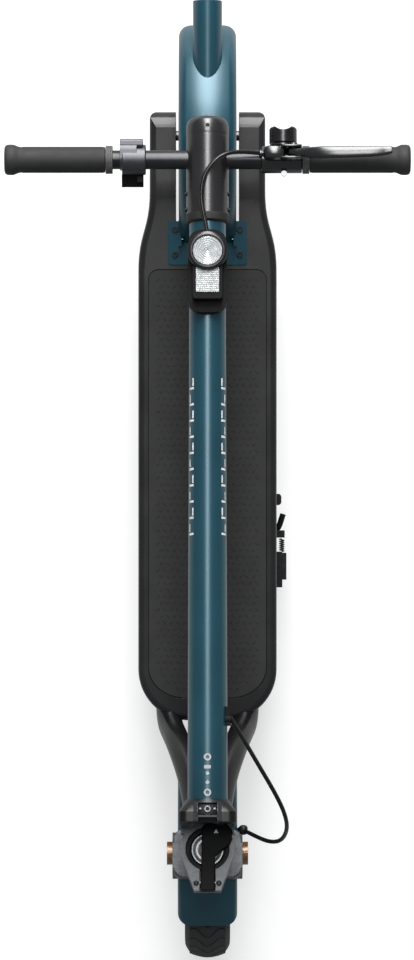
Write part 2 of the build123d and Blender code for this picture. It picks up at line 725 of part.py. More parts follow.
PERCH_PIVOT = (101.0, -25.0)      # (x, y) of the brake lever's pin, seen along the stem


def brake_perch():
    clamp = ring(15.5, BAR_R, (65, 0, BAR_Z), (92, 0, BAR_Z))
    top = block((66, 91), (-10, 9), (BAR_Z + 10, BAR_Z + 15.5)) - cross_rod(BAR_R, 60, 120, 0, BAR_Z)
    lug = block((84, 96), (-7, 7), (BAR_Z - 22, BAR_Z - 12)) - cross_rod(BAR_R, 60, 120, 0, BAR_Z)
    arm_outline = [(66, -12), (66, -22), (90, -33), (108, -33), (110, -18), (92, -12)]
    arm = Pos(0, 0, BAR_Z - 5) * extrude(make_face(Polyline(*arm_outline, close=True)), 18)
    jaw = block((88, 120), (-60, -15.5), (BAR_Z - 1.2, BAR_Z + 9.2))
    x, y = PERCH_PIVOT
    hole = rod(3, (x, y, BAR_Z - 20), (x, y, BAR_Z + 30))
    adjuster = rod(4.2, (62, -17, BAR_Z + 4.5), (70, -14.33, BAR_Z + 4))
    return STEM * (clamp + top + lug + arm + adjuster - jaw - hole - cross_rod(BAR_R, 60, 120, 0, BAR_Z))


def perch_hardware():
    """Lever pin with its round head, and the clamp bolt under the bar."""
    x, y = PERCH_PIVOT
    pin = rod(2.95, (x, y, BAR_Z - 5), (x, y, BAR_Z + 13))
    pin = pin + rod(4.4, (x, y, BAR_Z + 13.1), (x, y, BAR_Z + 15))
    bolt = rod(3.4, (90, -7.1, BAR_Z - 18), (90, -10, BAR_Z - 18))
    return STEM * Compound(children=pin.solids() + bolt.solids())


def brake_lever():
    """Long blade in front of the left grip, that swings back towards it."""
    x, y = PERCH_PIVOT
    outline = [
        (x - 6, y - 5), (x + 8, y - 9), (134, -42.5), (195, -42.5), (214, -45.5), (216.5, -41.5),
        (197, -36.5), (136, -35.5), (120, -30), (x + 6, y + 6), (x - 5, y + 5),
    ]
    face = make_face(Polyline(*outline, close=True))
    blade = extrude(fillet(face.vertices(), 1.5), 10)
    blade = Pos(0, 0, BAR_Z - 1) * blade
    return STEM * (blade - rod(3.0, (x, y, BAR_Z - 20), (x, y, BAR_Z + 30)))


BELL_X = 89.0


def bell_base():
    disc = rod(15.6, (BELL_X, 0, BAR_Z + 15.6), (BELL_X, 0, BAR_Z + 17.6))
    neck = rod(10.6, (BELL_X, 0, BAR_Z + 17.6), (BELL_X, 0, BAR_Z + 19.2))
    return STEM * (disc + neck + rod(3, (BELL_X, 0, BAR_Z + 19), (BELL_X, 0, BAR_Z + 26)))


def bell_cap():
    """Bell housing that twists on its post, with a scoop for the thumb across its top."""
    cap = rod(16.2, (BELL_X, 0, BAR_Z + 19.4), (BELL_X, 0, BAR_Z + 38.4))
    cap = fillet(cap.edges().sort_by(Axis.Z)[-1], 3)
    cap = cap - rod(12, (BELL_X, 0, BAR_Z + 18), (BELL_X, 0, BAR_Z + 31))
    scoop = rod(13, (BELL_X, -30, BAR_Z + 46.5), (BELL_X, 30, BAR_Z + 46.5))
    post = rod(3.05, (BELL_X, 0, BAR_Z + 18), (BELL_X, 0, BAR_Z + 34))
    hub = rod(5, (BELL_X, 0, BAR_Z + 20), (BELL_X, 0, BAR_Z + 32)) - post
    return STEM * (cap - scoop + hub)


# ---------------------------------------------------------------- lights on the stem
LAMP_Z = 662.0


def headlight_housing():
    """Black lamp body on the stem's front: round lamp on top, square reflector frame below."""
    saddle = block((-22.5, 22.5), (-32, 4), (592, 690))
    saddle = fillet(saddle.edges().filter_by(Axis.Y), 16)
    barrel = rod(22.8, (0, -20, LAMP_Z), (0, -50, LAMP_Z))
    frame = block((-17.5, 17.5), (-46, -20), (606, 650))
    frame = fillet(frame.edges().filter_by(Axis.Y), 4)
    body = saddle + barrel + frame
    body = body - rod(17.8, (0, -40, LAMP_Z), (0, -60, LAMP_Z))
    body = body - block((-13.8, 13.8), (-50, -43), (613.5, 643))
    body = body - stem_tube_outer() - block((-30, 30), (0, 20), (580, 700))
    cable_socket = rod(CABLE_R, (0, -29.5, 686), (-1.6, -29.9, 694))
    return STEM * (body - cable_socket)


def headlight_lens():
    glass = rod(17.5, (0, -40.2, LAMP_Z), (0, -51, LAMP_Z))
    glass = fillet(glass.edges().sort_by(Axis.Y)[0], 3.5)
    return STEM * glass


def front_reflector():
    return STEM * block((-13.5, 13.5), (-47.2, -43.2), (613.8, 642.7))


def cable_clip():
    """Grommet on the stem's left side, where the brake cable comes out."""
    boss = rod(6, (19, -6, 119), (27.5, -6, 119)) + block((19, 27), (-11, -1), (112, 134))
    return STEM * (boss - stem_tube_outer() - rod(CABLE_R, (24, -6.5, 118), (24, -6.5, 140)))


# ---------------------------------------------------------------- kickstand
STAND = (79.0, -107.0, 79.5)     # pivot of the leg
STAND_SPLAY = 15.0
STAND_AXIS = Vector(cosd(STAND_SPLAY), 0, sind(STAND_SPLAY))


def stand_rod(radius, low, high):
    """Cylinder along the leg's pivot axis."""
    centre = Vector(*STAND)
    return rod(radius, centre + STAND_AXIS * low, centre + STAND_AXIS * high)


def kickstand_bracket():
    """Bracket under the deck's edge, with the leg's pin and the spring's fixed end."""
    x, y, z = STAND
    plate = block((60, 92), (y - 20, y + 24), (91.2, DECK_BOTTOM))
    cheek_in = block((64, 69), (y - 9, y + 9), (z - 9, 92))
    cheek_out = block((91, 97), (y - 10.5, y + 11), (z - 4, 92))
    spring_end = block((88, 95), (y + 11.5, y + 22.5), (z - 1, 92))
    ledge = block((88, 97), (y - 10.5, y + 22.5), (91.2, DECK_BOTTOM))
    bracket = plate + cheek_in + cheek_out + spring_end + ledge
    return bracket - stand_rod(9.4, -10.2, 10.2) + stand_rod(2.95, -14, 16)


def kickstand_leg():
    """Leg that lies back under the deck's edge, with a curved spur for the rider's toe."""
    x, y, z = STAND
    shaft = rod(5.4, (x, y + 4, z), (x, y + 86, z))
    foot = Pos(x, y + 88, z) * Box(24, 14, 9)
    foot = fillet(foot.edges().filter_by(Axis.Z), 4)
    hook = block((x, x + 16), (y + 41, y + 50), (z - 3, z + 8))
    spur = bent_tube([(x + 2, y + 46, z), (x + 9, y + 54, z + 1), (x + 14, y + 70, z + 3)], 3.6, "toe spur")
    return stand_rod(8.6, -10, 10) + shaft + foot + hook + spur - stand_rod(3.0, -30, 30)


def kickstand_spring():
    """Coil spring between the bracket and the leg."""
    x, y, z = STAND
    coil = Helix(pitch=2.6, height=15.6, radius=2.7)
    wire = sweep(Plane(origin=coil @ 0, z_dir=coil % 0) * Circle(0.75), path=coil, is_frenet=True)
    return Plane(origin=(x + 12.5, y + 24, z + 4), z_dir=(0, 1, 0)) * wire


# ---------------------------------------------------------------- write every sub-part
def main():
    save("deck_body", deck_body())
    save("deck_plate", deck_plate())
    save("deck_mat", deck_mat())
    save("bottom_cover", bottom_cover())
    save("battery_pack", block((-60, 60), (-110, 200), (99, 146)))
    save("controller", block((-45, 45), (-205, -125), (99, 132)))
    save("charge_port", charge_port())
    save("charge_cap", charge_cap())
    save("neck_tubes", neck_tubes())
    save("head_tube", head_tube())
    save("headset_bearings", headset_bearings())
    save("rear_fender", rear_fender())
    save("fender_screws", Compound(children=[
        screw(2.5, 3.8, (x, y, DECK_TOP - 13), DECK_TOP + 3.1) for x, y in fender_screw_places()
    ]))
    save("tail_lens", tail_lens())
    save("rear_axle", rear_axle())
    save("motor_stator", motor_stator(REAR_AXLE))
    save("kickstand_bracket", kickstand_bracket())
    save("kickstand_spring", kickstand_spring())
    save("kickstand_leg", kickstand_leg())
    save("rear_hub", rear_hub(REAR_AXLE))
    save("rear_bearings", wheel_bearings(REAR_AXLE, -29, 29, 14))
    save("rear_tyre", tyre(REAR_AXLE))

    save("fork", fork())
    save("steerer", steerer())
    save("folding_collar", folding_collar())
    save("collar_pins", collar_pins())
    save("front_fender", front_fender())
    save("front_axle", front_axle())
    save("side_reflectors", side_reflectors())
    save("brake_plate", brake_plate())
    save("brake_shoes", brake_shoes())
    save("lower_cable", lower_cable())
    save("brake_line", brake_line())
    save("fold_lever", fold_lever())
    save("front_rim", front_rim(FRONT_AXLE))
    save("front_bearings", wheel_bearings(FRONT_AXLE, -19, 4, 13))
    save("front_tyre", tyre(FRONT_AXLE))

    save("stem_tube", stem_tube())
    save("stem_foot", stem_foot())
    save("latch_parts", latch_parts())
    save("stem_fittings", stem_fittings())
    save("head_sleeve", head_sleeve())
    save("display", display())
    save("power_button", power_button())
    save("handlebar", handlebar())
    save("grip_left", grip(1))
    save("grip_right", grip(-1))
    save("grip_rings", grip_rings())
    save("throttle_housing", throttle_housing())
    save("throttle_lever", throttle_lever())
    save("brake_perch", brake_perch())
    save("perch_hardware", perch_hardware())
    save("brake_lever", brake_lever())
    save("bell_base", bell_base())
    save("bell_cap", bell_cap())
    save("headlight_housing", headlight_housing())
    save("headlight_lens", headlight_lens())
    save("front_reflector", front_reflector())
    save("upper_cable", upper_cable())
    save("cable_clip", cable_clip())


main()
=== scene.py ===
import bpy
import bmesh
import math
from mathutils import Matrix, Vector


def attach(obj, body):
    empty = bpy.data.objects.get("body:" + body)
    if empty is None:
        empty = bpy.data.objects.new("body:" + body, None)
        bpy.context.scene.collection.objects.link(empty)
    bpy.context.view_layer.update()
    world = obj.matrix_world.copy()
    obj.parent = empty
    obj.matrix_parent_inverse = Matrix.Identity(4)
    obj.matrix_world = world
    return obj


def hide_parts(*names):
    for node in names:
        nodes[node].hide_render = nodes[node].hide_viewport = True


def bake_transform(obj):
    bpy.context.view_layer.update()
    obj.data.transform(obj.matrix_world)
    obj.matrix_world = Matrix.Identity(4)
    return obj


# Electric kick scooter, folded: the stem lies back over the deck.
# Shapes are drawn in millimetres in one of four local frames, then placed in the shared frame in metres:
# +X is the rider's left, -Y is forward, +Z is up, and the ground is z = 0.

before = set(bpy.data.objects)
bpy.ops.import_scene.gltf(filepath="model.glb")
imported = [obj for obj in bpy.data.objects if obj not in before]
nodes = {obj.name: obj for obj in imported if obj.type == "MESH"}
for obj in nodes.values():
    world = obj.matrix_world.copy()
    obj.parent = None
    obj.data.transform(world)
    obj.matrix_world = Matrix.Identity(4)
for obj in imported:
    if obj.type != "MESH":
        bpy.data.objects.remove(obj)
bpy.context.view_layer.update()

MM = Matrix.Scale(0.001, 4)
TAU = math.tau

HINGE = Vector((0, -0.3876, 0.3805))        # axis of the fold
HINGE_BACK, HINGE_UP = 0.036, 0.008         # from the middle of the collar's top face back and up to that axis
COLLAR_LEAN = 10.0                          # steering axis, degrees from vertical
FOLDED_LEAN = 96.8                          # stem when folded


def leaning(angle):
    """Frame whose Z leans back from vertical by angle degrees, hung from the fold hinge."""
    lean = math.radians(angle)
    back = Vector((0, math.cos(lean), -math.sin(lean)))
    up = Vector((0, math.sin(lean), math.cos(lean)))
    origin = HINGE - back * HINGE_BACK - up * HINGE_UP
    columns = [Vector((1, 0, 0)), back, up, origin]
    return Matrix([[column[row] for column in columns] for row in range(3)] + [[0, 0, 0, 1]])


GROUND = Matrix.Identity(4)
FORK = leaning(COLLAR_LEAN)         # collar and lever: z = 0 is the collar's top face, y runs to the rear
STEM = leaning(FOLDED_LEAN)         # the folded stem: z runs along it, and its front is -y
FRONT_AXLE = Vector((0, -451.0, 127.0))
REAR_AXLE = Vector((0, 425.5, 127.0))
BAR_Z = 778.5                       # the handlebar's height along the stem
LAMP_Z = 662                        # the lamp's
TO_X = Matrix.Rotation(TAU / 4, 4, "Y")         # turns a shape spun about Z to lie along X
TO_FRONT = Matrix.Rotation(TAU / 4, 4, "X")     # and to face -y
AT_BAR = Matrix.Translation((0, 0, BAR_Z))


def outwards(side):
    """Turns a shape that stands along Z to point out to the left (1) or to the right (-1)."""
    return Matrix.Rotation(side * TAU / 4, 4, "Y")


# ---------------------------------------------------------------- camera
camera_data = bpy.data.cameras.new("camera")
camera_data.lens = 164.9
camera = bpy.data.objects.new("camera", camera_data)
camera.location = (-0.0006, 0.005, 5.5)
bpy.context.scene.collection.objects.link(camera)
bpy.context.scene.camera = camera


# ---------------------------------------------------------------- materials
def linear(colour):
    """An sRGB hex colour as linear RGBA."""
    parts = [int(colour[i:i + 2], 16) / 255 for i in (1, 3, 5)]
    return tuple(p / 12.92 if p <= 0.04045 else ((p + 0.055) / 1.055) ** 2.4 for p in parts) + (1.0,)


def add(tree, kind, settings=None, links=None):
    """Adds a node. Settings are sockets or properties of it, and links feed its sockets."""
    node = tree.nodes.new("ShaderNode" + kind)
    for key, value in (settings or {}).items():
        if isinstance(key, int) or key in node.inputs:
            node.inputs[key].default_value = value
        else:
            setattr(node, key, value)
    for key, source in (links or {}).items():
        tree.links.new(source, node.inputs[key])
    return node


def surface(name, dark, light, rough, grain, depth, metallic=0.0, patch=60.0, edge=0.5, crown=0.0, **extra):
    """Material with a grain, soft patches between a dark and a light colour, and rounded edges.

    grain is its size across and depth its height, patch the size of the patches and edge the radius of
    the edges, all in millimetres. rough is the (low, high) roughness that the patches and the grain move
    between. crown gives a pressed panel a slight curve across X, as its change of slope per metre.
    """
    material = bpy.data.materials.new(name)
    material.use_nodes = True
    tree = material.node_tree
    shader = tree.nodes["Principled BSDF"]
    shader.inputs["Metallic"].default_value = metallic
    for key, value in extra.items():
        shader.inputs[key.replace("_", " ")].default_value = value
    place = add(tree, "TexCoord").outputs["Object"]
    fine = add(tree, "TexNoise", {"Scale": 1000 / grain, "Detail": 3.0, "Roughness": 0.6}, {"Vector": place})
    broad = add(tree, "TexNoise", {"Scale": 1000 / patch, "Detail": 2.0}, {"Vector": place})
    both = add(
        tree, "Math", {"operation": "MULTIPLY_ADD", 1: 0.45}, {0: fine.outputs["Fac"], 2: broad.outputs["Fac"]}
    )
    share = add(tree, "MapRange", {"From Min": 0.45, "From Max": 1.0}, {"Value": both.outputs[0]})
    share = share.outputs["Result"]
    colour = add(tree, "Mix", {"data_type": "RGBA", 6: linear(dark), 7: linear(light)}, {0: share})
    tree.links.new(colour.outputs[2], shader.inputs["Base Color"])
    sheen = add(tree, "MapRange", {"To Min": rough[0], "To Max": rough[1]}, {"Value": share})
    tree.links.new(sheen.outputs["Result"], shader.inputs["Roughness"])
    rounded = add(tree, "Bevel", {"samples": 4, "Radius": edge / 1000})
    across = add(tree, "SeparateXYZ", links={"Vector": place}).outputs["X"]
    curve = add(tree, "Math", {"operation": "MULTIPLY"}, {0: across, 1: across})
    curve = add(tree, "Math", {"operation": "MULTIPLY", 1: -crown / 2}, {0: curve.outputs[0]})
    height = add(
        tree, "Math", {"operation": "MULTIPLY_ADD", 1: depth / 1000}, {0: fine.outputs["Fac"], 2: curve.outputs[0]}
    )
    bump = add(
        tree, "Bump", {"Strength": 1.0, "Distance": 1.0},
        {"Height": height.outputs[0], "Normal": rounded.outputs["Normal"]},
    )
    tree.links.new(bump.outputs["Normal"], shader.inputs["Normal"])
    tree.links.new(bump.outputs["Normal"], shader.inputs["Coat Normal"])
    return material


# Lacquered aluminium tube: a deep teal base with metal flake under a clear satin coat, which draws one
# soft light streak along each round
teal_lacquer = {"dark": "#194452", "light": "#1E4F5E", "rough": (0.3, 0.34), "grain": 0.6, "depth": 0.002,
                "metallic": 0.35, "patch": 90, "Coat_Weight": 0.4, "Coat_Roughness": 0.27}
teal = surface("teal_metallic_lacquer", **teal_lacquer)
# The same lacquer on pressed sheet: the crown of the panel fades the light to either side
teal_panel = surface("teal_metallic_panel", crown=9, **teal_lacquer)
# Powder-coated aluminium: nearly black, with the fine orange peel of a baked powder
deck_black = surface(
    "black_powder_coat", "#1E1E1F", "#272728", (0.2, 0.26), 1.4, 0.002, patch=50, Specular_IOR_Level=0.33,
)
# Extruded rubber sheet: dull charcoal that scatters all light
mat_rubber = surface(
    "charcoal_mat_rubber", "#272727", "#323232", (0.6, 0.75), 0.9, 0.03, patch=25, Specular_IOR_Level=0.25,
)
# Sand-cast aluminium under a grey textured paint: coarse pits that sparkle a little
cast_grey = surface(
    "grey_cast_aluminium", "#4B4D50", "#7A7C7F", (0.38, 0.56), 2.4, 0.2, metallic=0.6, patch=9, edge=1.2,
)
# Die-cast part in satin black paint: smooth, with clear soft highlights along its edges
satin_black = surface(
    "satin_black_paint", "#0E0E10", "#161618", (0.26, 0.34), 1.2, 0.006, metallic=0.1, patch=20, edge=1.1,
    Coat_Weight=0.25, Coat_Roughness=0.14,
)
# Die-cast and moulded parts in matt black paint: dark on their faces, pale where the edges catch the light
matt_black = surface(
    "matt_black_paint", "#121213", "#19191A", (0.5, 0.6), 1.2, 0.006, patch=20, edge=1.3, Specular_IOR_Level=0.1,
)
# Sand-cast aluminium, blackened: deep black with a faint sheen broken up by the casting's skin
cast_black = surface(
    "black_cast_foot", "#0B0B0D", "#161618", (0.28, 0.42), 1.6, 0.03, metallic=0.3, patch=16, edge=1.2,
)
# Moulded ABS with a fine spark-eroded grain: a broad pale sheen on a warm black
sleeve_plastic = surface(
    "grained_black_abs", "#141314", "#1B1A1C", (0.24, 0.32), 0.8, 0.004, patch=40, edge=0.8, Specular_IOR_Level=1.0,
)
# Anodised aluminium tube: dark grey metal with a narrow bright line along it
bar_black = surface(
    "anodised_black_tube", "#2C2C2E", "#3C3C3E", (0.28, 0.36), 0.5, 0.004, metallic=0.7, patch=40,
)
# Die-cast aluminium in gloss black lacquer: black, with hard white lights that follow its edges
gloss_black = surface(
    "gloss_black_lacquer", "#0C0C0D", "#141415", (0.18, 0.24), 1.0, 0.003, patch=20, edge=1.2, Specular_IOR_Level=0.9,
)
# Bead-blasted aluminium clamp: mid grey metal, evenly soft
satin_grey = surface(
    "satin_grey_clamp", "#46464A", "#58585C", (0.34, 0.44), 0.6, 0.01, metallic=0.8, patch=12, edge=0.8,
)
# Moulded thermoplastic rubber: charcoal, slightly dusty where hands rub it
grip_rubber = surface("grip_rubber", "#212121", "#2D2D2D", (0.6, 0.78), 0.7, 0.03, patch=15, edge=0.3)
# Grey moulded rubber: its ribs read as light and dark rings
ring_rubber = surface("grey_collar_rubber", "#4A4A4A", "#626262", (0.5, 0.65), 0.7, 0.03, patch=10, edge=0.3)
# Vulcanised tyre rubber: soft black with a brownish grey bloom and mould grain
tyre_rubber = surface("tyre_rubber", "#202021", "#303131", (0.6, 0.8), 1.1, 0.06, patch=18, edge=0.8)
# Extruded PVC jacket: plain black, smooth enough for a thin light line along each bend
cable_rubber = surface("pvc_cable_jacket", "#060606", "#0D0D0D", (0.22, 0.32), 0.8, 0.005, patch=20, edge=0.1)
# Turned and zinc-plated steel: bright, with faint tool marks
steel = surface("zinc_plated_steel", "#6E7072", "#8E9092", (0.28, 0.42), 0.5, 0.006, metallic=1.0, patch=8, edge=0.3)
# Black-oxide steel: blue-black metal with an oily shine
oxide_steel = surface("black_oxide_steel", "#141416", "#232427", (0.3, 0.42), 0.7, 0.01, metallic=0.7, patch=6)
# Die-cast wheel in satin black paint: darker than the tyre, and smoother
rim_black = surface("black_wheel_paint", "#141416", "#1E1E21", (0.32, 0.42), 0.8, 0.01, metallic=0.3, patch=30)
# Bare die-cast aluminium: pale grey metal, cloudy from the mould
bare_aluminium = surface("cast_aluminium", "#8F9194", "#A8AAAD", (0.34, 0.5), 1.5, 0.04, metallic=1.0, patch=15)
# Moulded polypropylene: flat black that shows no reflection
cover_plastic = surface("matt_black_polypropylene", "#161617", "#202021", (0.55, 0.7), 1.2, 0.04, patch=30)
# PVC shrink wrap round the cells: blue, half glossy, a little wavy
shrink_wrap = surface("blue_pvc_shrink_wrap", "#163A6B", "#1E4A84", (0.3, 0.42), 3.0, 0.06, patch=30)
# Moulded soft rubber: black that swallows the light
soft_rubber = surface("black_moulded_rubber", "#121212", "#1C1C1C", (0.6, 0.75), 0.8, 0.02, patch=12)
# Moulded amber acrylic over prisms: copper-coloured, glossy
amber = surface(
    "amber_reflector_acrylic", "#6A4324", "#9C7448", (0.2, 0.32), 1.8, 0.05, metallic=0.3, patch=5, edge=0.4,
    Coat_Weight=0.4, Coat_Roughness=0.05,
)
# Moulded red acrylic: deep red with a wet-looking gloss
red_lens = surface(
    "red_tail_acrylic", "#6E0A0C", "#9A1114", (0.1, 0.18), 2.0, 0.02, patch=8, edge=0.6,
    Coat_Weight=0.5, Coat_Roughness=0.04,
)
# Clear polycarbonate in front of a bright reflector: silver white, with sharp small highlights
clear_lens = surface(
    "polycarbonate_over_mirror", "#A9ADAF", "#D6D9DA", (0.14, 0.24), 3.0, 0.03, metallic=0.25, patch=5, edge=0.4,
    Coat_Weight=0.8, Coat_Roughness=0.03,
)
# Clear acrylic moulded over microprisms: white that breaks up into small glints
prism_white = surface(
    "microprism_acrylic", "#B4B8B8", "#E2E4E2", (0.12, 0.25), 1.5, 0.03, metallic=0.35, patch=4, edge=0.2,
    Coat_Weight=0.6, Coat_Roughness=0.04,
)
# Tinted glass over the display: black with a mirror-like gloss
display_glass = surface(
    "dark_display_glass", "#020203", "#060608", (0.05, 0.08), 2.0, 0.001, patch=20, Coat_Weight=0.6,
    Coat_Roughness=0.02,
)
# Pad-printed ink: flat off-white that lies on the lacquer
print_white = surface("white_pad_print", "#D5D9DA", "#EDEFEF", (0.4, 0.5), 0.6, 0.004, patch=20, edge=0.05)
# A white light table: it glows towards the camera, and is only faintly shaded by what stands on it
floor_paint = surface(
    "white_light_table", "#B4B4B4", "#B8B8B8", (0.8, 0.85), 30.0, 0.01, patch=900, Emission_Color=(1, 1, 1, 1),
)
glow = add(floor_paint.node_tree, "LightPath").outputs["Is Camera Ray"]
glow = add(floor_paint.node_tree, "Math", {"operation": "MULTIPLY", 1: 0.6}, {0: glow}).outputs[0]
floor_paint.node_tree.links.new(glow, floor_paint.node_tree.nodes["Principled BSDF"].inputs["Emission Strength"])

finishes = {
    teal: ("stem_tube", "front_fender"),
    teal_panel: ("rear_fender",),
    deck_black: ("deck_body", "deck_plate"),
    mat_rubber: ("deck_mat",),
    cast_grey: ("fork", "folding_collar"),
    satin_black: ("neck_tubes", "head_tube", "brake_perch", "brake_lever", "bell_cap"),
    matt_black: ("fold_lever", "headlight_housing", "cable_clip", "throttle_lever"),
    cast_black: ("stem_foot",),
    sleeve_plastic: ("head_sleeve", "bell_base", "power_button"),
    bar_black: ("handlebar",),
    satin_grey: ("throttle_housing",),
    grip_rubber: ("grip_left", "grip_right"),
    ring_rubber: ("grip_rings",),
    tyre_rubber: ("front_tyre", "rear_tyre"),
    cable_rubber: ("lower_cable", "upper_cable", "brake_line"),
    steel: (
        "stem_fittings", "collar_pins", "steerer", "headset_bearings", "front_axle", "rear_axle",
        "front_bearings", "rear_bearings", "perch_hardware", "motor_stator",
    ),
    oxide_steel: ("latch_parts", "kickstand_spring", "fender_screws", "kickstand_bracket", "kickstand_leg"),
    rim_black: ("front_rim", "rear_hub"),
    bare_aluminium: ("controller", "brake_plate"),
    cover_plastic: ("bottom_cover", "charge_port"),
    shrink_wrap: ("battery_pack",),
    soft_rubber: ("charge_cap", "brake_shoes"),
    amber: ("side_reflectors",),
    red_lens: ("tail_lens",),
    clear_lens: ("headlight_lens",),
    prism_white: ("front_reflector",),
    display_glass: ("display",),
}
for material, names in finishes.items():
    for name in names:
        nodes[name].data.materials.clear()
        nodes[name].data.materials.append(material)


# ---------------------------------------------------------------- shaping helpers
def lathe(profile, steps=48, closed=False):
    """Spins a profile of (radius, height) pairs about Z."""
    bm = bmesh.new()
    verts = [bm.verts.new((r, 0, z)) for r, z in profile]
    edges = [bm.edges.new(pair) for pair in zip(verts, verts[1:])]
    if closed:
        edges.append(bm.edges.new((verts[-1], verts[0])))
    bmesh.ops.spin(
        bm, geom=verts + edges, cent=(0, 0, 0), axis=(0, 0, 1), angle=TAU, steps=steps, use_merge=True
    )
    bmesh.ops.remove_doubles(bm, verts=bm.verts, dist=0.001)
    return bm


def block(low, high, soft=0.0):
    """Box between two corners, with its edges rounded by soft."""
    bm = bmesh.new()
    size = Vector(high) - Vector(low)
    centre = (Vector(high) + Vector(low)) / 2
    bmesh.ops.create_cube(bm, size=1.0, matrix=Matrix.Translation(centre) @ Matrix.Diagonal((*size, 1)))
    if soft:
        bmesh.ops.bevel(
            bm, geom=bm.edges, offset=soft, segments=2, profile=0.5, affect="EDGES", material=-1
        )
    return bm


def moved(bm, matrix):
    bmesh.ops.transform(bm, matrix=matrix, verts=bm.verts)
    return bm


def joined(shapes):
    """One mesh out of several."""
    whole = bmesh.new()
    for bm in shapes:
        mesh = bpy.data.meshes.new("part")
        bm.to_mesh(mesh)
        bm.free()
        whole.from_mesh(mesh)
        bpy.data.meshes.remove(mesh)
    return whole


def piece(name, bm, place, body, material, stands_for=(), smooth=40.0):
    """Places a shape drawn in millimetres, gives it its finish and lets it ride on a body."""
    bmesh.ops.transform(bm, matrix=place @ MM, verts=bm.verts)
    bmesh.ops.recalc_face_normals(bm, faces=bm.faces)
    # Merging leaves the vertices and faces in any order, so they are put in one that every run repeats
    askew = Vector((1.0, 31.7, 977.3))
    bm.verts.sort(key=lambda vert: vert.co.dot(askew))
    bm.faces.sort(key=lambda face: face.calc_center_median().dot(askew))
    mesh = bpy.data.meshes.new(name)
    bm.to_mesh(mesh)
    bm.free()
    for polygon in mesh.polygons:
        polygon.use_smooth = True
    mesh.set_sharp_from_angle(angle=math.radians(smooth))
    mesh.materials.append(material)
    obj = bpy.data.objects.new(name, mesh)
    bpy.context.scene.collection.objects.link(obj)
    if body:
        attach(obj, body)
    if stands_for:
        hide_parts(*stands_for)
    return obj


# ---------------------------------------------------------------- cables
CABLE_RADIUS = 0.0025


def cable_curve(name, points, place):
    """Round cable along a smooth line through its route's points, which are in millimetres."""
    data = bpy.data.curves.new(name, "CURVE")
    data.dimensions = "3D"
    data.bevel_depth = CABLE_RADIUS
    data.bevel_resolution = 6
    data.resolution_u = 16
    data.use_fill_caps = True
    spline = data.splines.new("NURBS")
    spline.points.add(len(points) - 1)
    for point, place_mm in zip(spline.points, points):
        point.co = (*(place @ (Vector(place_mm) / 1000)), 1.0)
    spline.order_u = 3
    spline.use_endpoint_u = True
    data.materials.append(cable_rubber)
    obj = bpy.data.objects.new(name, data)
    bpy.context.scene.collection.objects.link(obj)
    return obj


# From the brake perch round the sleeve to the back of the lamp
upper = cable_curve("upper_brake_cable", [
    (62, -17, 783), (38, -25, 784.5), (14, -32.5, 778), (-4, -33, 757), (-8.5, -31, 731), (-4, -30.5, 706),
    (0, -29.5, 686),
], STEM)
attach(upper, "stem")
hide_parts("upper_cable")

# Down the fork leg to the drum brake
line = cable_curve("fork_brake_line", [
    (44.5, -411.5, 248), (42.5, -410, 230), (39, -415, 205), (32.5, -422, 178), (31, -424, 150),
], GROUND)
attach(line, "fork")
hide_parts("brake_line")

# The free loop from the clip on the stem to the fork; on the scooter it bends as the stem folds and the fork steers
loop = cable_curve("lower_brake_cable", [
    (26, -270, 398), (43, -298, 397), (61, -329, 393), (78, -358, 385), (90, -383, 372),
    (94, -403, 351), (88, -419, 324), (76, -424, 295), (61, -421, 268), (45, -413.5, 255),
], GROUND)
bpy.context.view_layer.update()
loop_mesh = bpy.data.meshes.new_from_object(loop.evaluated_get(bpy.context.evaluated_depsgraph_get()))
bpy.data.objects.remove(loop)
bending = bpy.data.objects.new("lower_brake_cable", loop_mesh)
bpy.context.scene.collection.objects.link(bending)
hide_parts("lower_cable")
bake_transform(bending)


# ---------------------------------------------------------------- tyres
def tyre_shape():
    """Tyre spun about X, with zigzag ribs raised across its crown."""
    ribs = 40
    shoulder, shoulder_radius, crown_rise = 22.0, 119.4, 5.4
    tread_inside, tread_radius = 118.5, 124         # what lies further out than the first is tread
    swing, turns = 7.5, 0.75                        # how far round the ribs swing, and how often by the shoulder
    half = [4, 8.5, 13, 17.5, shoulder]
    across = [-x for x in reversed(half)] + [0] + half
    crown = [(shoulder_radius + crown_rise * (1 - (x / shoulder) ** 2), x) for x in across]
    side = [(115, 25), (110.5, 27), (106, 27.4), (101, 26.6), (96, 23.2), (93, 20), (90.6, 18.4)]
    profile = [(r, -x) for r, x in reversed(side)] + crown + side
    bm = lathe(profile, steps=ribs, closed=True)
    rows = {}
    for face in bm.faces:
        middle = face.calc_center_median()
        if middle.xy.length > tread_inside and abs(middle.z) < shoulder:
            rows.setdefault(int(math.atan2(middle.y, middle.x) / TAU * ribs + ribs), []).append(face)
    for vert in bm.verts:
        if vert.co.xy.length > tread_inside:
            wave = swing * math.cos(vert.co.z / shoulder * TAU * turns)
            vert.co = Matrix.Rotation(wave / tread_radius, 3, "Z") @ vert.co
    bmesh.ops.recalc_face_normals(bm, faces=bm.faces)
    for row in rows.values():
        bmesh.ops.inset_region(
            bm, faces=row, thickness=1.0, depth=1.9, use_even_offset=True, use_boundary=True
        )
    return moved(bm, TO_X)


for name, axle, body in (("front_tyre", FRONT_AXLE, "front_wheel"), ("rear_tyre", REAR_AXLE, "rear_wheel")):
    piece(
        name + "_tread", moved(tyre_shape(), Matrix.Translation(axle)), GROUND, body, tyre_rubber,
        stands_for=(name,), smooth=28,
    )


